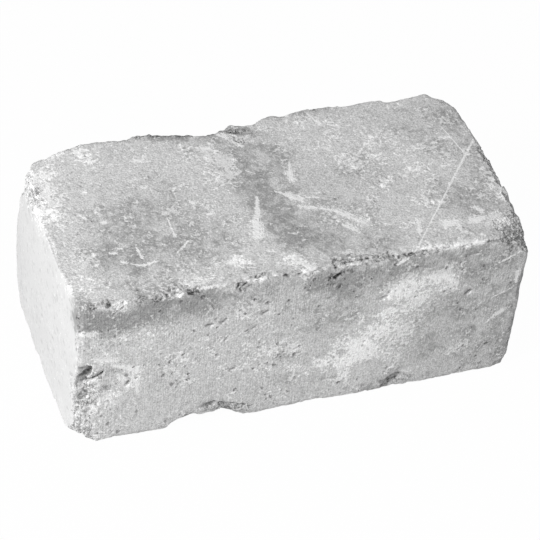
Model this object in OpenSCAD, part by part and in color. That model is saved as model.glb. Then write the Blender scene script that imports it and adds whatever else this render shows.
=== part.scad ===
// Tumbled concrete block for a dry-laid retaining wall.
//
// The block is pressed in a steel mould, cured and then tumbled in a drum with
// others, which rounds every arris, knocks nicks out of it and breaks corners off.
// It is one solid piece.
//
// Frame: X runs along the wall, Y from the front face to the back face, Z up.
// The origin is the centre of the lower bed.

/* [Block] */
// Length along the wall, end to end
block_length = 300; // [200:5:400]
// Depth from the front face to the back face
block_depth = 150; // [100:5:250]
// Height of one course, bed to bed
block_height = 120; // [90:5:200]
// Swell of the left and right ends, where the end plates of the mould give
end_belly = [3, 2]; // [0:0.5:5]
// Where along Y each swell is fullest, left and right
belly_peak = [10, -20]; // [-30:1:30]

/* [Worn arrises] */
// Mean radius that tumbling leaves on an arris
arris_radius = 3; // [2:0.5:8]
// Share by which that radius swings along an arris
arris_swing = 0.5; // [0:0.05:0.6]
// Length of one swing
swing_length = 55; // [30:5:120]
// Share by which that radius varies from grain to grain
arris_crumble = 0.35; // [0:0.05:0.4]

/* [Nicks] */
// Mean distance between the nicks in an arris
nick_spacing = 40; // [20:1:80]
// Smallest and largest radius of the scoop that a nick leaves
nick_radius = [7, 18]; // [4:0.5:25]
// Smallest and largest bite of a nick, in from the sharp arris
nick_bite = [2.2, 3.6]; // [0.5:0.1:6]
// Chooses one of many patterns of nicks
nick_seed = 11; // [1:1:99]

/* [Broken surfaces] */
// Height of the coarse grain on a broken surface
fracture_relief = 0.9; // [0:0.1:1.5]
// Length of one wave of that grain
fracture_grain = 13; // [10:1:25]

/* [Skin] */
// Distance between the points of the skin, along an arris
skin_step = 5; // [4.8:0.1:12]

/* [Hidden] */

// Depth below the faces within which all wear lies
rind = 34;
// Extra height that the skin has before its beds are struck flat
bed_skim = 0.4;
// Blend between a scoop and the surface that it bites into
scoop_ease = 1.5;

half = [block_length, block_depth, block_height] / 2;
core = [half.x - rind, half.y - rind, half.z - rind];

// Corners broken off: the corner's signs, how far the break runs along X, Y and Z,
// and how softly tumbling has eased its edges.
breaks = [
    [[-1, -1, -1], [17, 19, 22], 3],
    [[-1, -1, -1], [9, 10, 72], 2],
    [[-1, 1, 1], [10, 50, 42], 1.5],
    [[-1, 1, 1], [40, 18, 30], 3],
    [[1, -1, 1], [24, 26, 13], 1.5],
    [[1, 1, 1], [13, 13, 16], 11],
    [[1, -1, -1], [7, 7, 8], 5],
    [[-1, 1, -1], [8, 10, 12], 4],
    [[-1, -1, 1], [6, 7, 7], 3],
    [[1, 1, -1], [14, 18, 16], 4],
];

// Spalls knocked out of an arris or of a face beside it: the place as shares of
// the half sizes, the radius of the scoop and its bite.
spalls = [
    [[-0.45, -1, -1], 32, 7],
    [[-0.335, -1, -1], 14, 7.8],
    [[-0.97, -1, -0.16], 11, 5],
    [[-0.93, -1, -0.33], 16, 4.5],
    [[-1, -1, -0.5], 26, 8],
    [[-0.15, 1, 1], 30, 8.2],
    [[0.03, 1, 1], 34, 5],
    [[-0.29, 1, 1], 30, 4.5],
    [[0.73, 1, 1], 16, 4.5],
    [[0.35, -1, 1], 60, 3.5],
    [[0.47, -1, -0.88], 14, 2.6],
    [[-1, 1, 0.5], 40, 8.5],
    [[1, -0.53, 1], 9, 3.2],
];

// Arrises that tumbling left without a nick: the signs of the two faces that
// meet there, and 0 for the way they run.
spared = [[1, -1, 0], [0, -1, -1], [1, 0, 1]];

// Distance given to a ray that meets no surface
far = 1000;

function unit(v) = v / norm(v);

function times(a, b) = [for (i = [0:2]) a[i] * b[i]];

// Smaller of two lengths, eased together over a blend.
function soft_min(a, b, blend) =
    let (overlap = max(blend - abs(a - b), 0))
    min(a, b) - overlap * overlap / (4 * blend);

// Rises and falls between -1 and 1 over the block, with waves of one length.
function waves(p, length) =
    let (w = 360 / length)
    (sin(w * (p.x + 0.7 * p.y)) +
     sin(w * (0.6 * p.z - 0.8 * p.x) + 21) +
     sin(w * (1.1 * p.y - 0.5 * p.z) + 47) +
     sin(w * (0.9 * p.z + 0.4 * p.y) + 170) +
     sin(w * (0.5 * p.x - 0.9 * p.y + 0.7 * p.z) + 260)) / 3;

// A scoop is a ball, as [centre, radius], that bites into the sharp box.
function scoop(place, radius, bite) =
    let (edge = times(place, half))
    let (out = unit([for (s = place) abs(s) == 1 ? s : 0]))
    [edge + out * (radius - bite), radius];

// Where along a ray that leaves point s in direction n the ball begins.
function ball_at(s, n, ball) =
    let (from = s - ball[0])
    let (b = from * n)
    let (d = b * b - from * from + ball[1] * ball[1])
    d <= 0 || -b - sqrt(max(d, 0)) <= 0 ? far : -b - sqrt(d);

// Where along the ray the plane of a broken corner lies.
function break_at(s, n, corner) =
    let (slope = [for (i = [0:2]) corner[0][i] / corner[1][i]])
    let (rate = slope * n)
    rate <= 0 ? far : (slope * (times(corner[0], half) - s) - 1) / rate;

// The worn surface after the breaks from number i on.
function broken(s, n, surface, i = 0) =
    i == len(breaks) ? surface :
    let (cut = break_at(s, n, breaks[i]))
    broken(s, n, soft_min(surface, cut, breaks[i][2]), i + 1);

// Nicks along one arris: axis 0, 1 or 2 and the two sides it lies on.
function nicks_on(axis, sides, seed) =
    let (count = floor(2 * half[axis] / nick_spacing))
    let (jitter = rands(-0.4, 0.4, count, seed))
    let (radius = rands(nick_radius[0], nick_radius[1], count, seed + 100))
    let (bite = rands(nick_bite[0], nick_bite[1], count, seed + 200))
    [for (i = [0:count - 1])
        let (share = 2 * (i + 0.5 + jitter[i]) / count - 1)
        scoop(insert(sides, axis, share), radius[i], bite[i])];

function is_spared(arris) = len([for (s = spared) if (s == arris) 1]) > 0;

function insert(sides, axis, share) =
    axis == 0 ? [share, sides[0], sides[1]] :
    axis == 1 ? [sides[0], share, sides[1]] : [sides[0], sides[1], share];

scoops = concat(
    [for (s = spalls) scoop(s[0], s[1], s[2])],
    [for (axis = [0:2], a = [-1, 1], b = [-1, 1])
        if (!is_spared(insert([a, b], axis, 0)))
            each nicks_on(axis, [a, b], nick_seed + 7 * axis + 2 * a + b)]);

// How far the worn surface lies from core point s in direction n.
function reach(s, n) =
    let (box = [rind, rind, rind + bed_skim])
    let (sharp = min([for (i = [0:2]) abs(n[i]) < 1e-6 ? far : box[i] / abs(n[i])]))
    let (p = s + n * sharp)
    let (end = n.x < 0 ? 0 : 1)
    let (off_peak = (p.y - belly_peak[end]) / (half.y + abs(belly_peak[end])))
    let (shrink = end_belly[end] * off_peak * off_peak)
    let (faces = [for (i = [0:2])
        abs(n[i]) < 1e-6 ? far : (box[i] - (i == 0 ? shrink : 0)) / abs(n[i])])
    let (varied = 1 + arris_swing * waves(p, swing_length) +
                  arris_crumble * waves(p, fracture_grain))
    let (blend = 1.66 * arris_radius * max(varied, 0.15))
    let (worn = soft_min(soft_min(faces.x, faces.y, blend), faces.z, blend))
    let (scooped = min([for (b = scoops) ball_at(s, n, b)]))
    let (cut = soft_min(broken(s, n, worn), scooped, scoop_ease))
    let (depth = min((worn - cut) / 3, 1))
    cut - fracture_relief * depth * (1 + waves(s + n * cut, fracture_grain)) / 2;

// Distances from a sharp arris at which rays from the core reach a face.
marks = [18, 11, 6.5, 3.2, 1.2];
// Angles of those rays over a quarter turn, the middle one along the diagonal.
turn = concat(
    [for (d = marks) atan((rind - d) / rind)],
    [45],
    [for (i = [len(marks) - 1:-1:0]) 90 - atan((rind - marks[i]) / rind)]);

function steps(from, to) =
    let (n = max(1, round(abs(to - from) / skin_step)))
    [for (i = [0:n]) from + (to - from) * i / n];

along_x = steps(-core.x, core.x);
along_y = steps(-core.y, core.y);
along_z = steps(-core.z, core.z);

// Rays round the core, anticlockwise: [x, y, azimuth].
rounds = concat(
    [for (x = along_x) [x, -core.y, -90]],
    [for (a = turn) [core.x, -core.y, a - 90]],
    [for (y = along_y) [core.x, y, 0]],
    [for (a = turn) [core.x, core.y, a]],
    [for (x = along_x) [-x, core.y, 90]],
    [for (a = turn) [-core.x, core.y, 90 + a]],
    [for (y = along_y) [-core.x, -y, 180]],
    [for (a = turn) [-core.x, -core.y, 180 + a]]);

// Rays up the core: [z, elevation].
levels = concat(
    [for (i = [len(turn) - 1:-1:0]) [-core.z, -turn[i]]],
    [for (z = along_z) [z, 0]],
    [for (a = turn) [core.z, a]]);

around = len(rounds);
up = len(levels);

function skin_point(r, l) =
    let (s = [r.x, r.y, l.x])
    let (n = [cos(r.z) * cos(l.y), sin(r.z) * cos(l.y), sin(l.y)])
    s + n * reach(s, n);

// The flat middle of the front and back faces spans these levels and these rays.
flat_low = len(turn);
flat_high = flat_low + len(along_z) - 1;
flat_starts = [0, len(along_x) + len(along_y) + 2 * len(turn)];
flat_length = len(along_x) - 1;

function in_flat(i, j) =
    i >= flat_low && i < flat_high &&
    len([for (start = flat_starts) if (j >= start && j < start + flat_length) 1]) > 0;

// Points round the edge of a flat middle, anticlockwise from outside.
function flat_edge(start) = concat(
    [for (j = [0:flat_length - 1]) flat_low * around + start + j],
    [for (i = [flat_low:flat_high - 1]) i * around + start + flat_length],
    [for (j = [flat_length:-1:1]) flat_high * around + start + j],
    [for (i = [flat_high:-1:flat_low + 1]) i * around + start]);

// Triangles from a centre point to each side of an outline.
function fan(centre, outline) =
    [for (k = [0:len(outline) - 1])
        [centre, outline[(k + 1) % len(outline)], outline[k]]];

module worn_skin() {
    points = concat(
        [for (l = levels, r = rounds) skin_point(r, l)],
        [[0, 0, -half.z - bed_skim], [0, 0, half.z + bed_skim],
         [0, -half.y, 0], [0, half.y, 0]]);
    centres = up * around;
    side = [for (i = [0:up - 2], j = [0:around - 1])
        let (k = (j + 1) % around, a = i * around, b = a + around)
        if (!in_flat(i, j)) each [[a + j, b + j, b + k], [a + j, b + k, a + k]]];
    polyhedron(points, concat(
        side,
        fan(centres, [for (j = [around - 1:-1:0]) j]),
        fan(centres + 1, [for (j = [0:around - 1]) (up - 1) * around + j]),
        fan(centres + 2, flat_edge(flat_starts[0])),
        fan(centres + 3, flat_edge(flat_starts[1]))));
}

module wall_block() {
    color([0.7, 0.7, 0.7])
    intersection() {
        translate([0, 0, half.z])
            worn_skin();
        translate([-block_length, -block_depth, 0])
            cube([2 * block_length, 2 * block_depth, block_height]);
    }
}

wall_block();
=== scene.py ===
import itertools
import math

import bpy
import numpy as np
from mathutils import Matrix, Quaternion, Vector
from mathutils.bvhtree import BVHTree


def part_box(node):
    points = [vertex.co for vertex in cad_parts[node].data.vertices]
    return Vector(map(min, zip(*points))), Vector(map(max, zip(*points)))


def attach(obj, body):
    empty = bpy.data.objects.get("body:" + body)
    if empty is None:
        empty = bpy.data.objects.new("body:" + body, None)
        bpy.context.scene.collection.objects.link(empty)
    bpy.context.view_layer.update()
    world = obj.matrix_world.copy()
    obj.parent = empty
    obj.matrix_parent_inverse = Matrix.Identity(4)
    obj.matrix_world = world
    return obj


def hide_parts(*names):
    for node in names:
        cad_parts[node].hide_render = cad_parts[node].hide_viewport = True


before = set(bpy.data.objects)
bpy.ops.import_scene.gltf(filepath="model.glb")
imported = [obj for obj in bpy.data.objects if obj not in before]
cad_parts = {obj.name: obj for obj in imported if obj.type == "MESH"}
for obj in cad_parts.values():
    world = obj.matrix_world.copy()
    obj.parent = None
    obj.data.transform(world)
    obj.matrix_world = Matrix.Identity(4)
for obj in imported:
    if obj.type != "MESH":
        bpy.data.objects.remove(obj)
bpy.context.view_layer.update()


# --- Camera -----------------------------------------------------------------
# A long lens looks down on the front face, the left end and the upper bed, and
# is held a little out of level.
azimuth, elevation, tilt = (math.radians(a) for a in (-22.84, 42.89, -6.41))
looked_at = Vector((0.0022, -0.0048, 0.0562))
distance = 1.4405
towards_block = Vector((
    -math.sin(azimuth) * math.cos(elevation),
    math.cos(azimuth) * math.cos(elevation),
    -math.sin(elevation),
))
camera = bpy.data.objects.new("camera", bpy.data.cameras.new("camera"))
camera.data.sensor_width = 36.0
camera.data.lens = 147.03
camera.location = looked_at - towards_block * distance
camera.rotation_mode = "QUATERNION"
camera.rotation_quaternion = Quaternion(towards_block, tilt) @ towards_block.to_track_quat("-Z", "Y")
bpy.context.scene.collection.objects.link(camera)
bpy.context.scene.camera = camera
bpy.context.scene.view_settings.view_transform = "Standard"


# --- Wall block -----------------------------------------------------------------
# One solid piece of dense concrete, pressed in a steel mould, cured, and tumbled in a
# drum that wears the arrises and knocks corners off. It is laid dry, without mortar,
# and stays put by its own weight.
#
# A fine net covers the block's box. Further down it is let down onto the worn solid
# and roughened inwards: arrises crumble, broken faces show their sand, pores open.
MM = 0.001
fine_step, coarse_step = 0.55 * MM, 0.85 * MM
fine_strip = 11 * MM
core_depth = 34 * MM
triangles_wanted = 192000

# Knots lie closer together along the arrises than between them.
low, high = (np.array(corner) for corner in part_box("wall_block"))
places = []
for length in high - low:
    near = np.arange(0, fine_strip, fine_step)
    between = np.linspace(fine_strip, length - fine_strip, round((length - 2 * fine_strip) / coarse_step))
    places.append(np.concatenate([near, between, length - near[::-1]]))
counts = np.array([len(along) - 1 for along in places])

# Squares between the knots cover all six sides. Knots that two sides share are one.
squares = []
for axis, side in itertools.product(range(3), (0, 1)):
    u, v = (axis + 1) % 3, (axis + 2) % 3
    a, b = (grid.ravel() for grid in np.meshgrid(np.arange(counts[u]), np.arange(counts[v]), indexing="ij"))
    around = [(0, 0), (1, 0), (1, 1), (0, 1)]
    corners = np.zeros((a.size, 4, 3), np.int64)
    for n, (du, dv) in enumerate(around if side else around[::-1]):
        corners[:, n, u] = a + du
        corners[:, n, v] = b + dv
        corners[:, n, axis] = counts[axis] * side
    squares.append(corners)
squares = np.concatenate(squares)
knots = np.ravel_multi_index(tuple(np.moveaxis(squares, -1, 0)), counts + 1)
knots, squares = np.unique(knots, return_inverse=True)
squares = squares.reshape(-1, 4)
net = low + np.stack([along[n] for along, n in zip(places, np.unravel_index(knots, counts + 1))], axis=1)

# Strands join each knot to the knots beside it.
strands = np.concatenate([squares[:, [n, (n + 1) % 4]] for n in range(4)])
strands = strands[strands[:, 0] < strands[:, 1]]
neighbours = np.bincount(strands.ravel(), minlength=len(net))


def evened(field, rounds):
    """The field after so many rounds of averaging along the strands of the net."""
    for _ in range(rounds):
        total = np.bincount(strands[:, 0], field[strands[:, 1]], len(net))
        total += np.bincount(strands[:, 1], field[strands[:, 0]], len(net))
        field = (field + total / neighbours) / 2
    return field


def ramp(value, start, end):
    """Eases from 0 at start to 1 at end."""
    part = np.clip((value - start) / (end - start), 0, 1)
    return part * part * (3 - 2 * part)


def chance(cell, seed):
    """A fixed random number from 0 to 1 for each whole-numbered cell."""
    mixed = np.full(len(cell), 374761393 + 668265263 * seed, np.uint64)
    for axis, prime in enumerate((73856093, 19349663, 83492791)):
        mixed ^= cell[:, axis].astype(np.uint64) * np.uint64(prime)
        mixed = ((mixed ^ (mixed >> np.uint64(15))) * np.uint64(2246822519)) & np.uint64(0xFFFFFFFF)
    mixed ^= mixed >> np.uint64(13)
    return mixed / 0xFFFFFFFF


def rubble(points, size, seed):
    """Smooth lumps of one size, from -1 to 1."""
    at = points @ np.array(Quaternion((1, 2, 3), 0.7 + seed).to_matrix()) / size + 200
    cell = np.floor(at).astype(np.int64)
    part = at - cell
    part = part * part * (3 - 2 * part)
    total = np.zeros(len(points))
    for corner in itertools.product((0, 1), repeat=3):
        total += np.prod(np.where(corner, part, 1 - part), axis=1) * (2 * chance(cell + corner, seed) - 1)
    return total


def sway(points, size, seed):
    """A push along X, Y and Z, each its own rubble, that makes straight rims ragged."""
    return np.stack([rubble(points, size, seed + axis) for axis in range(3)], axis=1)


def scoops(points, spacing, radii, share, seed):
    """Round hollows scattered at random: 1 in the middle of one, 0 from its rim on."""
    at = points / spacing + 200
    cell = np.floor(at).astype(np.int64)
    deepest = np.zeros(len(points))
    for offset in itertools.product((-1, 0, 1), repeat=3):
        home = cell + offset
        middle = home + np.stack([chance(home, seed + n) for n in range(3)], axis=1)
        radius = (radii[0] + (radii[1] - radii[0]) * chance(home, seed + 3)) / spacing
        hollow = 1 - np.sum((at - middle) ** 2, axis=1) / radius ** 2
        deepest = np.maximum(deepest, np.where(chance(home, seed + 4) < share, hollow, 0))
    return deepest


def stroke(points, start, end, half_width):
    """1 on the line from start to end, easing to 0 at half a width from it; sizes in mm."""
    here, along = points / MM - start, np.subtract(end, start)
    share = np.clip(here @ along / max(along @ along, 1e-9), 0, 1)
    return np.clip(1 - np.sum((here - share[:, None] * along) ** 2, axis=1) / half_width ** 2, 0, 1)


def strongest(points, strokes, widened=1.0, faded=1.0):
    """At each point the strongest of the strokes: from, to, half width in mm, strength."""
    most = np.zeros(len(points))
    for start, end, half_width, strength in strokes:
        most = np.maximum(most, strength * stroke(points, start, end, widened * half_width) ** faded)
    return most


# The net goes down along rays from a core box inside the block. Each knot looks
# up the solid a little to one side, which frays the rims of the chips.
core_low, core_high = low + core_depth, high - core_depth
gaps = np.minimum(net - low, high - net)
from_arris = np.sort(gaps, axis=1)[:, 1]
fray = 1.4 * sway(net, 6 * MM, 10) + 0.8 * sway(net, 2.5 * MM, 20)
looked = np.clip(np.where(gaps > 0, net + MM * fray, net), low, high)
feet = np.clip(looked, core_low, core_high)
rays = looked - feet
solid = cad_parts["wall_block"].data
skin_of_solid = BVHTree.FromPolygons([v.co for v in solid.vertices], [p.vertices for p in solid.polygons])
struck = [skin_of_solid.ray_cast(Vector(foot), Vector(ray))[3] for foot, ray in zip(feet, rays)]
lost = evened(np.clip(np.linalg.norm(rays, axis=1) - np.array(struck, float), 0, None), 3)

# Wear is what is lost beyond the swell of the two ends, a parabola across the depth.
# Past 2 to 3 mm of it the pressed skin has gone, and the concrete shows broken.
worn = lost.copy()
for end in (low[0], high[0]):
    middle = (net[:, 0] == end) & (from_arris > core_depth)
    swell = np.polyval(np.polyfit(net[middle, 1], lost[middle], 2), net[:, 1])
    worn -= np.clip(swell - np.abs(net[:, 0] - end), 0, None)
broken = ramp(worn, 2.0 * MM, 3.0 * MM)

# Stretches that came away grain by grain: from, to, half width in mm, strength. X runs
# to the right, the front face is at Y -75 and the upper bed at Z 120.
torn = [
    # Upper front arris, from the left.
    ((-150, -75, 121), (150, -75, 121), 2.5, 0.45), ((-149, -75, 118), (-148, -75, 112), 3, 1.0),
    ((-139, -73, 120), (-133, -73, 119), 3, 0.9), ((-129, -73, 121), (-122, -74, 118), 4, 1.1),
    ((-112, -74, 121), (-97, -75, 119), 3.5, 1.0), ((-93, -72, 121), (-80, -71, 121), 4.5, 1.0),
    ((-77, -75, 120), (-72, -75, 119), 3, 1.0), ((-47, -75, 117), (-40, -75, 115), 3.4, 1.0),
    ((-34, -71, 120), (-28, -71, 120), 2.5, 0.8), ((-19, -74, 120), (-5, -72, 120), 3.2, 1.0),
    ((-8, -75, 119), (-1, -75, 117), 3, 0.9), ((15, -75, 111), (22, -75, 114), 3.2, 0.9),
    ((18, -71, 120), (36, -70, 120), 4.2, 1.15), ((36, -71, 120), (54, -73, 120), 4, 1.1),
    ((52, -75, 118), (66, -75, 118), 3.5, 0.95), ((66, -75, 120), (92, -75, 120), 2.5, 0.8),
    ((96, -75, 120), (128, -75, 120), 2.0, 0.6),
    # Upper arris of the right end.
    ((138, -66, 118), (150, -52, 116), 14, 1.05), ((150, -75, 108), (150, -56, 113), 9, 1.1),
    ((148, 12, 120), (149, 1, 120), 3.5, 0.9), ((148, -2, 121), (149, -24, 120), 4.5, 0.95),
    ((148, -37, 121), (148, -46, 119), 5, 1.0),
    # Upper back arris.
    ((-150, 26, 118), (-150, 75, 100), 12, 1.0), ((-52, 73, 120), (-30, 70, 120), 7, 1.2),
    ((-16, 73, 120), (4, 74, 120), 6, 1.1), ((-10, 58, 120), (-4, 54, 120), 3, 0.6),
    ((-66, 75, 120), (-40, 75, 120), 7, 0.9), ((108, 75, 119), (116, 75, 118), 8, 1.0),
    ((-34, 71, 120), (-19, 67, 120), 5, 1.15), ((-8, 66, 120), (5, 61, 120), 3.6, 1.05),
    # Front face, under its upper arris and down its left edge.
    ((8, -75, 108), (33, -75, 100), 5, 0.52), ((-149, -75, 101), (-144, -75, 101), 3, 0.9),
    ((-149, -75, 97), (-149, -75, 84), 1.8, 0.8), ((-149, -75, 80), (-149, -75, 72), 2, 0.8),
    # Broken corner at the lower left.
    ((-147, -75, 52), (-141, -75, 8), 13, 0.8), ((-147, -75, 62), (-131, -75, 61), 6, 0.9),
    ((-139, -75, 41), (-128, -75, 48), 5, 1.0),
    # Foot of the front.
    ((-56, -75, 12), (-34, -75, 6), 7, 1.1), ((62, -75, 4), (80, -75, 6), 4, 1.05),
]
tear = np.maximum(0.2 * np.clip(1 - from_arris / (4 * MM), 0, 1), strongest(net + 1.1 * MM * fray, torn))
patches = 0.42 * rubble(net, 7 * MM, 60) + 0.32 * rubble(net, 3 * MM, 61) + 0.2 * rubble(net, 1.5 * MM, 62)
tear += np.where(tear > 0, patches, 0)
broken = np.maximum(broken, ramp(tear, 0.5, 0.75))

# Single grains and slivers plucked out: from, to, half width and depth in mm.
plucked = [
    # Upper front arris, from the left.
    ((-128, -74, 121), (-128, -75, 119), 1.6, 3.0), ((-92, -74, 121), (-91, -75, 119), 1.5, 2.6),
    ((-89, -71, 120), (-84, -71, 120), 1.6, 1.8), ((-76, -75, 119), (-73, -75, 120), 1.4, 2.2),
    ((-47, -75, 116), (-45, -75, 119), 1.2, 3.5), ((-44, -75, 114), (-41, -75, 118), 1.4, 4.5),
    ((-41, -75, 113), (-40, -75, 115), 0.9, 2.2), ((-16, -74, 120), (-14, -75, 119), 1.5, 2.4),
    ((17, -75, 110), (20, -75, 113), 1.8, 4.4), ((20, -75, 115), (22, -75, 116), 0.9, 2.4),
    ((36, -72, 120), (39, -72, 120), 1.6, 2.6), ((66, -75, 118), (69, -75, 119), 1.5, 2.2),
    ((105, -75, 109), (112, -75, 111), 1.6, 1.4),
    # Upper right corner.
    ((142, -71, 116), (147, -66, 110), 2.4, 3.0),
    # Front face.
    ((-148, -75, 101), (-144, -75, 102), 1.2, 2.0), ((-62, -75, 106), (-61, -75, 104), 1.4, 1.6),
    ((109, -75, 76), (113, -75, 78), 1.6, 3.8), ((149, -74, 112), (149, -74, 107), 2.2, 3.0),
    ((73, -75, 107), (79, -75, 106), 1.4, 1.3), ((52, -75, 86), (55, -75, 86), 1.6, 1.6),
    ((-63, -75, 89), (-61, -75, 88), 1.5, 2.8), ((-60, -75, 91), (-59, -75, 92), 1.0, 2.0),
    ((-56, -75, 89), (-53, -75, 91), 1.2, 2.4), ((-61, -75, 70), (-58, -75, 72), 1.1, 1.8),
    ((-56, -75, 71), (-55, -75, 73), 0.9, 1.4), ((-53, -75, 72), (-51, -75, 74), 1.1, 1.8),
    ((-27, -75, 90), (-25, -75, 91), 1.3, 2.0), ((-47, -75, 44), (-44, -75, 45), 1.3, 2.0),
    ((-35, -75, 78), (-33, -75, 80), 1.0, 1.4),
    # Holes and short cracks about the broken corner at the lower left.
    ((-145, -75, 68), (-140, -75, 69), 3.2, 4.5), ((-144, -75, 60), (-141, -75, 66), 4.2, 6.5),
    ((-146, -75, 54), (-137, -75, 58), 1.6, 4.4), ((-137, -75, 58), (-131, -75, 61), 1.4, 3.6),
    ((-131, -75, 61), (-130, -75, 64), 1.3, 3.0), ((-114, -75, 49), (-113, -75, 50), 1.5, 3.2),
    ((-148, -75, 36), (-144, -75, 34), 1.2, 2.0), ((-143, -75, 34), (-138, -75, 31), 1.1, 1.6),
    # Foot of the front.
    ((-61, -75, 15), (-57, -75, 16), 3.0, 5.6), ((-52, -75, 14), (-36, -75, 9), 1.5, 3.2),
    ((60, -75, 7), (69, -75, 9), 1.6, 5.6), ((70, -75, 8), (80, -75, 9), 1.1, 1.8),
]
pluck = strongest(net + 0.9 * MM * fray, plucked)

# All relief, in mm, goes inwards. Arrises crumble, those round the two ends less.
near_arris = 1 - ramp(from_arris, 1 * MM, 5 * MM)
near_arris = near_arris * (0.35 + 0.65 * ramp(gaps[:, 0], 1 * MM, 6 * MM))
crumbs = scoops(net + 0.5 * MM * fray, 4 * MM, (0.8 * MM, 2.4 * MM), 0.4, 100) * near_arris
grit = np.abs(rubble(net, 3 * MM, 30)) + 0.5 * np.abs(rubble(net, 1.6 * MM, 31))
sockets = scoops(net, 3.4 * MM, (0.8 * MM, 2.0 * MM), 0.6, 110)
fracture = 0.6 * np.abs(rubble(net, 8 * MM, 32)) + 0.9 * grit + 0.9 * sockets
huddled = ramp(rubble(net, 24 * MM, 33), -0.1, 0.6)
open_pores = np.maximum(
    scoops(net + 0.5 * MM * fray, 5 * MM, (0.7 * MM, 1.6 * MM), 0.2, 120) * huddled,
    scoops(net + 0.7 * MM * fray, 18 * MM, (0.8 * MM, 2.6 * MM), 0.3, 130),
)
relief = (
    broken * (0.3 + fracture)
    + 0.4 * crumbs
    + 0.5 * np.clip(grit - 0.35, 0, 1) * near_arris
    + pluck
    + open_pores
    + 0.12 * (1 + rubble(net, 40 * MM, 34)) + 0.05 * (1 + rubble(net, 14 * MM, 35))
)

# Each knot goes down its ray by what the block has lost and by the relief.
down = net - np.clip(net, core_low, core_high)
down /= np.linalg.norm(down, axis=1)[:, None]
skin = net - down * (lost + MM * relief)[:, None]

# How far a spot lies below those about it, in mm. Plucked holes get the most dirt and
# painted shade.
hollow = np.clip(relief - evened(relief, 12), 0, None) + 0.25 * pluck

# Pale lime bloom and darker grime: from, to, half width in mm, strength. Some bloom strokes
# are painted light on arrises, and some grime strokes are painted shade under and along
# arrises and by a chip. The clouds drift from their strokes, spread wider and fade sooner.
bloom_and_light_strokes = [
    # Upper bed.
    ((-28, 44, 120), (-27, 22, 120), 12, 0.65), ((-52, 30, 120), (-60, -10, 120), 18, 0.3),
    ((-140, 50, 120), (-146, 10, 120), 12, 0.5), ((-96, -62, 120), (-60, -60, 120), 9, 0.2),
    ((-46, -57, 120), (-42, -57, 120), 4, 0.8), ((-8, -62, 120), (0, -72, 120), 5, 0.9),
    ((30, -30, 120), (46, -42, 120), 10, 0.4), ((60, 30, 120), (110, 10, 120), 36, 0.25),
    ((-134, -30, 120), (-138, -60, 120), 12, 0.4), ((133, -60, 118), (142, -72, 117), 8, 0.65),
    # Upper arris of the right end: pale wear, and painted light against the shade of its rounding.
    ((143, -26, 120), (146, -38, 120), 4, 1.0),
    # Along the upper back arris.
    ((-128, 64, 120), (-110, 62, 120), 9, 0.5), ((12, 62, 120), (56, 60, 120), 9, 0.25),
    # Upper front arris, from the left: pale flecks and scrapes, and painted highlight along the arris.
    ((-126, -75, 117), (-120, -75, 117), 3, 1.0), ((-92, -74, 119), (-84, -74, 119), 3, 1.0),
    ((-76, -67, 120), (-61, -69, 120), 5, 0.7), ((72, -69, 121), (90, -71, 121), 4, 0.9),
    ((96, -72, 121), (120, -72, 121), 4, 0.8),
    # Front face: the broad streak, then the rest.
    ((62, -75, 89), (94, -75, 91), 11, 0.85), ((76, -75, 84), (56, -75, 60), 16, 0.8),
    ((56, -75, 58), (34, -75, 38), 16, 0.85), ((36, -75, 36), (8, -75, 32), 14, 0.6),
    ((66, -75, 50), (60, -75, 28), 16, 0.45), ((-60, -75, 62), (-20, -75, 60), 26, 0.14),
    ((108, -75, 26), (112, -75, 27), 7, 0.7), ((-120, -75, 88), (-96, -75, 84), 12, 0.3),
    # Ring about the broken corner at the lower left.
    ((-135, -75, 72), (-124, -75, 73), 4, 0.7), ((-121, -75, 66), (-106, -75, 62), 4, 0.45),
    ((-106, -75, 60), (-106, -75, 44), 5, 0.5), ((-118, -75, 56), (-116, -75, 44), 5, 0.25),
    ((-124, -75, 46), (-121, -75, 34), 4, 0.6), ((-148, -75, 52), (-128, -75, 50), 6, 0.3),
    ((-147, -75, 44), (-138, -75, 10), 10, 0.15),
    # Foot of the front.
    ((-50, -75, 14), (44, -75, 12), 12, 0.15),
]
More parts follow.
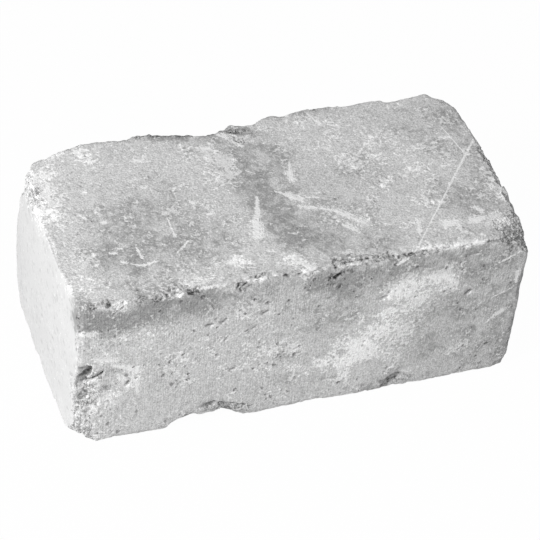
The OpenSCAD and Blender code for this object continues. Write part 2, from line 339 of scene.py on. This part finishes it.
grime_and_shade_strokes = [
    # Upper bed: the dark band from back to front, then the rest.
    ((-22, 46, 120), (2, 40, 120), 16, 0.65), ((-18, 34, 120), (-10, 10, 120), 16, 0.84),
    ((6, 38, 120), (12, 18, 120), 17, 0.55), ((-10, 6, 120), (-2, -14, 120), 13, 0.86),
    ((10, 8, 120), (16, -16, 120), 14, 0.42), ((-4, -16, 120), (0, -44, 120), 13, 0.9),
    ((2, -42, 120), (18, -48, 120), 13, 0.84), ((8, -20, 120), (36, -44, 120), 22, 0.6),
    ((-2, -56, 120), (60, -62, 120), 9, 0.5), ((-94, -6, 120), (-66, -4, 120), 22, 0.6),
    ((-60, -22, 120), (-72, 16, 120), 18, 0.4), ((-122, -30, 120), (-106, -44, 120), 13, 0.8),
    ((-92, -34, 120), (-60, -26, 120), 22, 0.65), ((-116, -62, 120), (-70, -56, 120), 10, 0.4),
    ((-40, 8, 120), (-66, 24, 120), 12, 0.3), ((140, -6, 120), (134, -36, 120), 9, 0.45),
    ((112, -30, 120), (128, -48, 120), 14, 0.5), ((110, 44, 120), (122, 20, 120), 14, 0.45),
    ((40, 2, 120), (64, 6, 120), 18, 0.35),
    # Along the upper arris of the right end.
    ((138, 50, 120), (144, 4, 120), 10, 0.5),
    # Upper back arris: painted shade along it.
    ((-130, 75, 119), (60, 75, 119), 7, 0.5), ((-54, 74, 119), (-19, 68, 119), 8, 1.1),
    ((-8, 66, 119), (5, 62, 119), 4, 0.9), ((-16, 74, 119), (8, 75, 119), 7, 0.7),
    # Upper front arris, from the left: painted shade on the front face just under it.
    ((-90, -75, 116), (-60, -75, 117), 7, 0.9), ((-50, -75, 116), (10, -75, 112), 11, 0.5),
    ((62, -75, 112), (150, -75, 108), 11, 0.6),
    # Front face: the band of painted shade under its upper arris, then the rest.
    ((-147, -75, 112), (-122, -75, 104), 11, 1.2), ((-124, -75, 106), (-92, -75, 112), 11, 1.15),
    ((-98, -75, 106), (-64, -75, 108), 11, 0.98), ((-66, -75, 108), (-54, -75, 110), 8, 0.95),
    ((10, -75, 108), (32, -75, 104), 12, 0.9), ((32, -75, 106), (62, -75, 110), 11, 0.75),
    ((4, -75, 98), (34, -75, 92), 11, 0.5), ((116, -75, 98), (150, -75, 94), 20, 0.6),
    ((88, -75, 58), (150, -75, 70), 28, 0.5), ((90, -75, 30), (150, -75, 34), 30, 0.47),
    # Painted shade down the rounded right arris of the front, then grime.
    ((148, -75, 90), (148, -75, 8), 12, 0.6), ((10, -75, 76), (30, -75, 72), 14, 0.4),
    ((-15, -75, 88), (16, -75, 84), 2.4, 0.75), ((-16, -75, 49), (10, -75, 46), 3, 0.5),
    ((-14, -75, 28), (24, -75, 24), 4, 0.55), ((-60, -75, 20), (30, -75, 14), 11, 0.15),
    # Beside the broken corner at the lower left.
    ((-131, -75, 67), (-122, -75, 59), 4, 0.6),
    # Foot of the front: painted shade along the chip there.
    ((48, -75, 4), (84, -75, 6), 7, 0.6),
]
drift = (3.2 * sway(net, 17 * MM, 40) + 1.4 * fray) * MM
bloom_and_light = strongest(net + drift, bloom_and_light_strokes, widened=1.7, faded=1.5)
grime_and_shade = strongest(net + drift, grime_and_shade_strokes, widened=1.7, faded=1.5)

mesh = bpy.data.meshes.new("wall_block_skin")
mesh.from_pydata(skin.tolist(), [], squares.tolist())
for name, amount in {"broken": broken, "hollow": hollow, "bloom_and_light": bloom_and_light, "grime_and_shade": grime_and_shade}.items():
    mesh.attributes.new(name, "FLOAT", "POINT").data.foreach_set("value", amount.astype(np.float32))
block = bpy.data.objects.new("wall_block_skin", mesh)
bpy.context.scene.collection.objects.link(block)
thinning = block.modifiers.new("thinning", "DECIMATE")
thinning.ratio = triangles_wanted / (2 * len(squares))
block.data = bpy.data.meshes.new_from_object(block.evaluated_get(bpy.context.evaluated_depsgraph_get()))
block.modifiers.clear()
block.data.shade_smooth()
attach(block, "root")
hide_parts("wall_block")

# The concrete is grey cement with fine sand. The mould has pressed the left end smooth
# and drawn fine lines up the sides, the drum has scuffed it pale, lime has bloomed and
# grime has settled on it, and pores and holes are darker inside. Some of this colour is
# painted light: highlights along the upper front arris, light on the right end's upper arris,
# and painted shade under and along arrises, by a chip at the foot and inside pores and hollows.
concrete = bpy.data.materials.new("tumbled_concrete")
concrete.use_nodes = True
block.data.materials.clear()
block.data.materials.append(concrete)


def add(tree, kind, inputs=None, **settings):
    """A new node, its inputs set to values or joined to other nodes' outputs."""
    node = tree.nodes.new("ShaderNode" + kind)
    for name, value in settings.items():
        setattr(node, name, value)
    for name, value in (inputs or {}).items():
        if isinstance(value, bpy.types.NodeSocket):
            tree.links.new(value, node.inputs[name])
        else:
            node.inputs[name].default_value = value
    return node


def maths(tree, operation, *values):
    """The output of a Math node."""
    return add(tree, "Math", dict(enumerate(values)), operation=operation).outputs[0]


def eased(tree, value, start, end, first=0.0, last=1.0):
    """Eases from first to last as the value goes from start to end."""
    inputs = {"Value": value, "From Min": start, "From Max": end, "To Min": first, "To Max": last}
    return add(tree, "MapRange", inputs, interpolation_type="SMOOTHSTEP", clamp=False).outputs["Result"]


def shader_group(name, inputs, outputs):
    """An empty node group with named inputs and outputs."""
    group = bpy.data.node_groups.new(name, "ShaderNodeTree")
    for label, kind in inputs.items():
        group.interface.new_socket(label, in_out="INPUT", socket_type="NodeSocket" + kind)
    for label in outputs:
        group.interface.new_socket(label, in_out="OUTPUT", socket_type="NodeSocketFloat")
    return group, group.nodes.new("NodeGroupInput").outputs, group.nodes.new("NodeGroupOutput").inputs


# A pale stroke, used for scuffs and for painted highlights: a stroke from one place to another,
# frayed at its edge and drawn out in fibres that run along it.
fibre_width = 0.8 * MM
pale_stroke, given, result = shader_group(
    "pale_stroke",
    {"Place": "Vector", "Fray": "Float", "From": "Vector", "To": "Vector",
     "First Width": "Float", "Last Width": "Float", "Strength": "Float"},
    ["Mask"],
)
along = add(pale_stroke, "VectorMath", {0: given["To"], 1: given["From"]}, operation="SUBTRACT").outputs[0]
here = add(pale_stroke, "VectorMath", {0: given["Place"], 1: given["From"]}, operation="SUBTRACT").outputs[0]
length = add(pale_stroke, "VectorMath", {0: along, 1: along}, operation="DOT_PRODUCT").outputs["Value"]
travelled = add(pale_stroke, "VectorMath", {0: here, 1: along}, operation="DOT_PRODUCT").outputs["Value"]
share = maths(pale_stroke, "MINIMUM", 1.0, maths(pale_stroke, "DIVIDE", travelled, length))
share = maths(pale_stroke, "MAXIMUM", 0.0, share)
reached = add(pale_stroke, "VectorMath", {0: along, "Scale": share}, operation="SCALE").outputs[0]
across = add(pale_stroke, "VectorMath", {0: here, 1: reached}, operation="SUBTRACT").outputs[0]
aside = add(pale_stroke, "VectorMath", {0: across}, operation="LENGTH").outputs["Value"]
strand = add(pale_stroke, "VectorMath", {0: across, 1: (1.0, 0.6, 0.8)}, operation="DOT_PRODUCT").outputs["Value"]
strand = maths(pale_stroke, "MULTIPLY_ADD", strand, 1 / fibre_width, maths(pale_stroke, "MULTIPLY", given["Fray"], 0.5))
fibre = add(pale_stroke, "TexNoise", {"W": strand, "Scale": 1.0, "Detail": 0.0}, noise_dimensions="1D").outputs[0]
widening = maths(pale_stroke, "SUBTRACT", given["Last Width"], given["First Width"])
width = maths(pale_stroke, "MULTIPLY_ADD", share, widening, given["First Width"])
inside = maths(pale_stroke, "ADD", given["Fray"], maths(pale_stroke, "DIVIDE", aside, width))
inside = maths(pale_stroke, "MULTIPLY_ADD", fibre, 1.6, maths(pale_stroke, "SUBTRACT", inside, 0.8))
dryness = maths(pale_stroke, "MULTIPLY_ADD", given["Strength"], -1.1, 1.1)
pale_stroke.links.new(eased(pale_stroke, maths(pale_stroke, "ADD", inside, dryness), 1.0, 0.55), result["Mask"])

tree = concrete.node_tree
shader = tree.nodes["Principled BSDF"]
place = add(tree, "TexCoord").outputs["Object"]
askew = add(tree, "Mapping", {"Vector": place, "Rotation": (0.6, 0.9, 0.4)}).outputs[0]


def noise(size, detail=2.0, roughness=0.5, stretch=(1, 1, 1)):
    """Cloudy noise from 0 to 1, its lumps of one size in mm."""
    at = askew
    if stretch != (1, 1, 1):
        at = add(tree, "Mapping", {"Vector": place, "Scale": [1 / s for s in stretch]}).outputs[0]
    inputs = {"Vector": at, "Scale": 1 / (size * MM), "Detail": detail, "Roughness": roughness}
    return add(tree, "TexNoise", inputs).outputs[0]


def laid_on(name):
    """What the mesh carries at each knot: broken, hollow, bloom with painted light, or grime with painted
    shade.
    """
    return add(tree, "Attribute", attribute_name=name).outputs["Fac"]


sand = noise(1.15, 3.0, 0.7)
mottle = noise(4.5, 3.0, 0.6)
cloud = noise(30.0, 3.0, 0.55)
drawn = noise(0.9, 2.0, 0.5, (1, 1, 18))
ragged = noise(2.2, 4.0, 0.75)


def specks(spacing, largest, rarity, core=0.5):
    """Ragged specks, 1 inside a core of each: spacing and largest radius in mm."""
    shaking = add(tree, "TexNoise", {"Vector": askew, "Scale": 0.7 / (spacing * MM), "Detail": 2.0})
    moved = {0: shaking.outputs["Color"], 1: [spacing * MM * 0.6] * 3, 2: askew}
    shaken = add(tree, "VectorMath", moved, operation="MULTIPLY_ADD").outputs[0]
    cells = add(tree, "TexVoronoi", {"Vector": shaken, "Scale": 1 / (spacing * MM)})
    pick = add(tree, "SeparateColor", {"Color": cells.outputs["Color"]}).outputs["Red"]
    radius = maths(tree, "MULTIPLY", maths(tree, "POWER", pick, rarity), largest / spacing)
    return eased(tree, maths(tree, "DIVIDE", cells.outputs["Distance"], radius), 1.0, core)


# Which way the skin faces tells the four sides from the beds, and the left end, which
# the mould pressed smoother: there the grain of everything is low.
facing = add(tree, "SeparateXYZ", {0: add(tree, "NewGeometry").outputs["Normal"]}).outputs
side = eased(tree, maths(tree, "ABSOLUTE", facing["Z"]), 0.6, 0.3)
grain = eased(tree, facing["X"], -0.7, -0.95, 1.0, 0.15)
patchy = maths(tree, "MULTIPLY_ADD", maths(tree, "SUBTRACT", noise(16.0, 7.0, 0.72), 0.5), grain, 0.5)

# Pores are most on the sides and pale flecks most on the beds, both in patches.
pore = maths(tree, "MULTIPLY", specks(4.0, 2.2, 2.4, 0.15), eased(tree, patchy, 0.47, 0.6))
pale_grain = specks(2.4, 1.1, 2.0)
fleck = maths(tree, "MULTIPLY", specks(5.0, 3.2, 2.6, 0.5), eased(tree, patchy, 0.42, 0.6, 0.2, 1.0))
crumbled = eased(tree, noise(1.8, 3.0, 0.7), 0.36, 0.6, -0.3, 0.17)
fleck = maths(tree, "MULTIPLY", fleck, maths(tree, "MULTIPLY_ADD", side, -0.5, 1.0))
pore = maths(tree, "MULTIPLY", pore, maths(tree, "MULTIPLY_ADD", side, 0.75, 0.25))
pore = maths(tree, "MULTIPLY", pore, grain)

# Scuffs, each from one place to another, in mm, with the widths at both ends and a strength.
# Those along the upper front arris are partly painted highlight.
scuffs_and_highlights = [
    # Upper bed.
    ((-11, -2, 120), (-16, -18, 120), 0.9, 1.8, 1.0), ((-17, -19, 120), (-22, -36, 120), 2.0, 3.8, 1.0),
    ((20, 26, 120), (16, 9, 120), 0.6, 3.4, 0.8), ((-21, -51, 120), (-16, -53, 120), 1.0, 0.8, 0.9),
    ((2, 1, 120), (8, -4, 120), 0.6, 1.4, 1.0), ((8, -4, 120), (15, -10, 120), 1.8, 3.4, 1.0),
    ((20, -9, 120), (27, -11, 120), 1.4, 1.2, 0.7), ((12, -16, 120), (16, -17, 120), 1.4, 1.4, 0.7),
    ((14, -17, 120), (26, -21, 120), 3.4, 3.2, 0.55), ((26, -21, 120), (34, -26, 120), 1.8, 2.2, 0.45),
    ((34, -26, 120), (47, -40, 120), 3.6, 5.2, 0.52), ((35, -40, 120), (40, -46, 120), 2.6, 2.8, 0.75),
    ((147, 20, 120), (112, -22, 120), 0.7, 0.6, 0.92), ((112, -22, 120), (74, -68, 120), 0.6, 0.6, 0.7),
    ((131, 37, 120), (136, 8, 120), 0.7, 0.7, 0.7), ((98, -53, 120), (104, -53, 120), 3.6, 3.2, 1.0),
    ((116, -54, 120), (121, -54, 120), 3.0, 3.2, 1.0),
    ((123, -43, 120), (125, -48, 120), 1.6, 2.0, 0.8),
    ((120, -42, 120), (124, -43, 120), 1.2, 1.4, 0.7), ((82, -46, 120), (78, -60, 120), 3.4, 1.2, 0.6),
    ((117, 0, 120), (121, 0, 120), 2.0, 2.2, 0.7), ((126, 27, 120), (133, 26, 120), 1.6, 1.6, 0.7),
    ((-76, 50, 120), (-73, 49, 120), 2.6, 2.6, 0.7), ((-80, 24, 120), (-77, 23, 120), 2.2, 2.2, 0.6),
    ((-112, -3, 120), (-110, -2, 120), 2.0, 2.0, 0.7), ((-53, 3, 120), (-52, 2, 120), 2.4, 2.4, 0.6),
    ((-46, -10, 120), (-43, -9, 120), 2.2, 2.6, 0.6),
    ((-98, -30, 120), (-97, -40, 120), 1.2, 1.2, 0.65),
    ((-105, -43, 120), (-99, -46, 120), 1.0, 1.6, 0.8),
    ((-99, -46, 120), (-90, -44, 120), 1.6, 1.0, 0.8),
    ((-110, -40, 120), (-108, -41, 120), 1.6, 1.6, 0.9),
    ((-115, -31, 120), (-112, -31, 120), 1.4, 2.0, 0.7),
    ((-109, -28, 120), (-107, -28, 120), 2.2, 2.2, 0.5),
    ((-75, -40, 120), (-65, -31, 120), 0.8, 0.8, 0.65),
    ((-72, -8, 120), (-72, -25, 120), 0.9, 1.4, 0.5), ((-46, -56, 120), (-43, -55, 120), 2.4, 2.4, 0.7),
    ((-10, 24, 120), (-5, 20, 120), 0.5, 0.5, 0.8),
    # Along the upper back arris.
    ((48, 70, 120), (52, 59, 120), 1.4, 2.0, 0.5), ((-30, 51, 120), (-26, 51, 120), 3.0, 3.0, 0.6),
    ((-16, 63, 119), (-10, 57, 119), 2.4, 3.2, 0.8), ((-10, 57, 120), (-5, 48, 120), 3.0, 1.6, 0.75),
    # Upper front arris, from the left: scrapes that are partly painted highlight.
    ((-124, -75, 118), (-122, -75, 118), 2.6, 2.6, 0.9),
    ((-89, -75, 120), (-83, -75, 118), 2.0, 2.0, 1.0),
    ((-76, -73, 120), (-54, -74, 120), 1.2, 1.8, 0.8),
    ((-48, -74, 120), (-29, -74, 120), 1.2, 1.6, 1.0), ((1, -74, 120), (10, -74, 120), 2.0, 1.4, 1.0),
    ((16, -75, 119.5), (33, -74.5, 119), 0.9, 0.9, 0.9),
    ((58, -75, 113), (70, -73, 120), 1.0, 1.6, 0.9), ((58, -76, 118), (70, -74, 120), 1.0, 1.4, 0.8),
    ((90, -75, 119.5), (128, -74, 119.5), 1.2, 1.8, 0.8),
    # Front face.
    ((129, -75, 99), (145, -75, 107), 0.9, 0.9, 0.6), ((144, -75, 88), (144, -75, 79), 2.2, 1.0, 1.0),
    ((129, -75, 46), (139, -75, 55), 0.8, 2.6, 0.7), ((117, -75, 63), (145, -75, 76), 1.0, 0.9, 0.25),
    ((-147, -75, 99), (-137, -75, 98), 1.6, 2.6, 1.0), ((80, -75, 97), (92, -75, 95), 1.6, 2.8, 0.5),
    ((92, -75, 95), (102, -75, 87), 2.8, 1.8, 0.5),
    # Ring about the broken corner at the lower left.
    ((-135, -75, 76), (-121, -75, 71), 1.4, 2.2, 0.72),
    ((-124, -75, 68), (-108, -75, 60), 1.6, 2.8, 0.75),
    ((-108, -75, 51), (-107, -75, 40), 2.2, 1.6, 0.72),
    ((-119, -75, 56), (-114, -75, 46), 2.4, 2.4, 0.72),
    ((-149, -75, 53), (-142, -75, 48), 2.0, 2.6, 0.6),
    ((-126, -75, 40), (-123, -75, 34), 2.0, 2.0, 0.6),
]
rim = maths(tree, "MULTIPLY_ADD", ragged, 5.0, -2.7)
scuffed_and_highlit = None
for start, end, first, last, strength in scuffs_and_highlights:
    mark = add(tree, "Group", {
        "Place": place, "Fray": rim, "From": Vector(start) * MM, "To": Vector(end) * MM,
        "First Width": first * MM, "Last Width": last * MM, "Strength": strength,
    }, node_tree=pale_stroke).outputs["Mask"]
    scuffed_and_highlit = mark if scuffed_and_highlit is None else maths(tree, "MAXIMUM", scuffed_and_highlit, mark)

# The bare concrete: cement grey, spread lighter and darker by sand, mottling and patches.
rough_grey, smooth_grey = 0.583, 0.6
tone = maths(tree, "MULTIPLY_ADD", sand, 1.05, -0.525)
tone = maths(tree, "MULTIPLY_ADD", mottle, 0.5, maths(tree, "ADD", tone, -0.25))
tone = maths(tree, "MULTIPLY_ADD", patchy, 0.36, maths(tree, "ADD", tone, -0.18))
grey = maths(tree, "MULTIPLY_ADD", grain, rough_grey - smooth_grey, smooth_grey)
tone = maths(tree, "MULTIPLY_ADD", tone, grain, grey)
tone = maths(tree, "MULTIPLY_ADD", cloud, 0.10, tone)

# Grime and painted shade darken their clouds, and lime bloom and painted light lighten their own.
stained_and_shaded = maths(tree, "MULTIPLY_ADD", patchy, 4.4, laid_on("grime_and_shade"))
stained_and_shaded = maths(tree, "MULTIPLY_ADD", mottle, 2.2, stained_and_shaded)
grime_and_shade_mask = eased(tree, stained_and_shaded, 3.25, 4.35, 0.0, 0.52)
tone = maths(tree, "MULTIPLY", tone, maths(tree, "SUBTRACT", 1.0, grime_and_shade_mask))
limed_and_lit = maths(tree, "MULTIPLY_ADD", patchy, 4.5, laid_on("bloom_and_light"))
limed_and_lit = maths(tree, "MULTIPLY_ADD", ragged, 3.4, limed_and_lit)
bloom_and_light_mask = eased(tree, limed_and_lit, 4.25, 4.8, 0.0, 0.37)
tone = maths(tree, "ADD", tone, bloom_and_light_mask)

# Pale flecks and grains, and sand showing light and dark on broken faces.
pale = maths(tree, "MULTIPLY_ADD", fleck, 0.23, maths(tree, "MULTIPLY", pale_grain, 0.13))
tone = maths(tree, "MULTIPLY_ADD", pale, grain, tone)
tone = maths(tree, "MULTIPLY_ADD", crumbled, laid_on("broken"), tone)

# Scuffs rub all of this to a pale powder, and along the upper front arris they are partly
# painted highlight. Pores and hollows stay dark.
rubbed_and_highlit = maths(tree, "MULTIPLY", scuffed_and_highlit, 0.78)
tone = maths(tree, "MULTIPLY", tone, maths(tree, "SUBTRACT", 1.0, rubbed_and_highlit))
tone = maths(tree, "MULTIPLY_ADD", rubbed_and_highlit, 0.92, tone)
# Pores and hollows are darkened: partly dirt, partly painted shade inside them.
hollow_dirt_and_shade = maths(tree, "MULTIPLY", pore, 0.16)
hollow_dirt_and_shade = maths(tree, "MAXIMUM", hollow_dirt_and_shade, eased(tree, laid_on("hollow"), 0.5, 2.6, 0.0, 0.68))
tone = maths(tree, "MULTIPLY", tone, maths(tree, "SUBTRACT", 1.0, hollow_dirt_and_shade))
tree.links.new(tone, shader.inputs["Base Color"])

# Matt all over, most of all where sand shows. What has been rubbed is a little smoother.
roughness = maths(tree, "MULTIPLY_ADD", sand, 0.12, 0.86)
roughness = maths(tree, "MULTIPLY_ADD", rubbed_and_highlit, -0.2, roughness)
tree.links.new(roughness, shader.inputs["Roughness"])

# Relief too fine for the mesh, in mm.
height = maths(tree, "MULTIPLY", sand, 0.4)
brokenness = maths(tree, "MULTIPLY_ADD", laid_on("broken"), 1.8, 0.7)
height = maths(tree, "MULTIPLY_ADD", ragged, brokenness, height)
height = maths(tree, "MULTIPLY_ADD", maths(tree, "MULTIPLY", drawn, side), 0.35, height)
height = maths(tree, "MULTIPLY_ADD", pore, -2.6, maths(tree, "MULTIPLY", height, grain))
bump = add(tree, "Bump", {"Strength": 1.0, "Distance": MM, "Height": height})
tree.links.new(bump.outputs["Normal"], shader.inputs["Normal"])


# --- Floor ----------------------------------------------------------------------
# A sheet of white paper under the block. To the eye it is blank, but for a faint
# shadow, and it throws soft light back up onto the sides.
floor_mesh = bpy.data.meshes.new("floor")
floor_mesh.from_pydata([(-3, -3, 0), (3, -3, 0), (3, 3, 0), (-3, 3, 0)], [], [(0, 1, 2, 3)])
floor = bpy.data.objects.new("floor", floor_mesh)
bpy.context.scene.collection.objects.link(floor)
paper = bpy.data.materials.new("white_paper")
paper.use_nodes = True
paper.node_tree.nodes.clear()
matt = add(paper.node_tree, "BsdfDiffuse", {"Color": (0.65, 0.65, 0.65, 1)})
blank = add(paper.node_tree, "Emission", {"Color": (1, 1, 1, 1), "Strength": 1.0})
seen = add(paper.node_tree, "LightPath").outputs["Is Camera Ray"]
mixed = add(paper.node_tree, "MixShader", {
    0: maths(paper.node_tree, "MULTIPLY", seen, 0.98), 1: matt.outputs[0], 2: blank.outputs[0],
})
paper.node_tree.links.new(mixed.outputs[0], add(paper.node_tree, "OutputMaterial").inputs["Surface"])
floor_mesh.materials.append(paper)


# --- Light ----------------------------------------------------------------------
# A strong lamp, low on the left, lights the left end most. A broad, weaker softbox
# hangs before the front face. The room is evenly bright, and to the eye it is white.
room = bpy.data.worlds.new("room")
room.use_nodes = True
daylight = room.node_tree.nodes["Background"]
daylight.inputs["Color"].default_value = (1, 1, 1, 1)
daylight.inputs["Strength"].default_value = 0.38
beyond = add(room.node_tree, "Background", {"Color": (1, 1, 1, 1), "Strength": 1.0})
seen = add(room.node_tree, "LightPath").outputs["Is Camera Ray"]
backdrop = add(room.node_tree, "MixShader", {0: seen, 1: daylight.outputs[0], 2: beyond.outputs[0]})
room.node_tree.links.new(backdrop.outputs[0], room.node_tree.nodes["World Output"].inputs["Surface"])
bpy.context.scene.world = room

for name, size, energy, spot in (
    ("lamp", 0.4, 31.0, (-1.56, -0.62, 1.14)),
    ("softbox", 1.2, 7.0, (-0.42, -1.02, 1.35)),
):
    light = bpy.data.objects.new(name, bpy.data.lights.new(name, "AREA"))
    light.data.shape = "DISK"
    light.data.size = size
    light.data.energy = energy
    light.location = spot
    light.rotation_mode = "QUATERNION"
    light.rotation_quaternion = (Vector((0, 0, 0.06)) - light.location).to_track_quat("-Z", "Y")
    bpy.context.scene.collection.objects.link(light)
